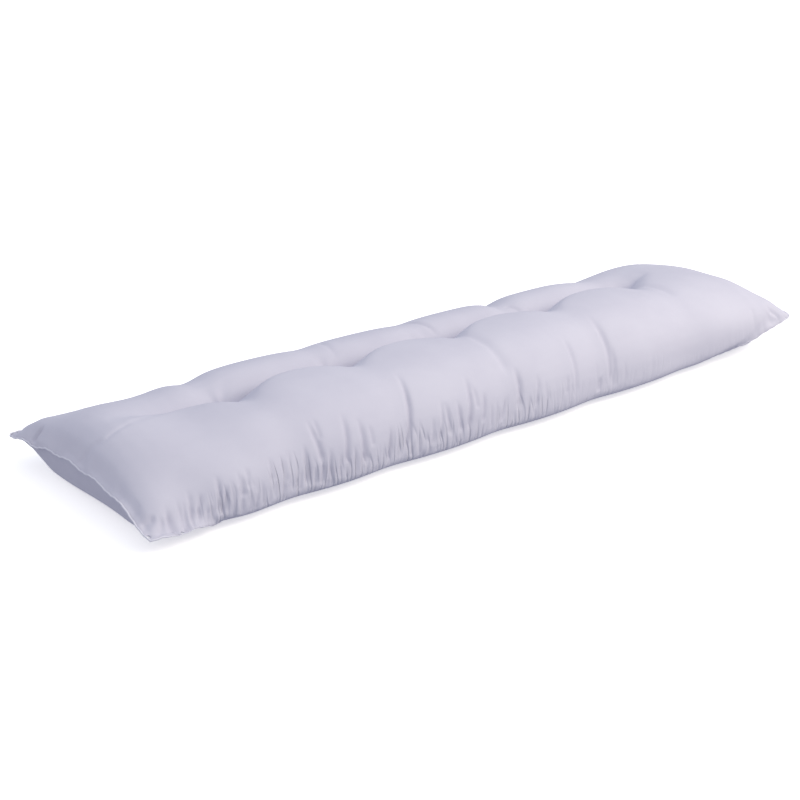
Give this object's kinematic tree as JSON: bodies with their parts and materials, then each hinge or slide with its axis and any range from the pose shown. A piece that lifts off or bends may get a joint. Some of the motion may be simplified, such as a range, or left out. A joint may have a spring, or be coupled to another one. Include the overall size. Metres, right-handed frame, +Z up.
{
  "type": "body pillow",
  "caption": "Long filled body pillow with five tufts along the middle, two humped long sides, sewn end seams and soft corner ears, in pale lilac brushed microfibre",
  "frame": {"origin": "middle of the pillow's outline seen from above, at the height of the surface it rests on", "axes": "+X along the pillow towards the end that tapers more gently at the back, +Y towards the lower of its two long humps, +Z up"},
  "size_m": [1.4918, 0.4688, 0.1558],
  "materials": {
    "brushed_microfibre": "matt pale lilac brushed microfibre, fine plain weave"
  },
  "bodies": {
    "root": {"pillow": "brushed_microfibre"}
  },
  "joints": []
}
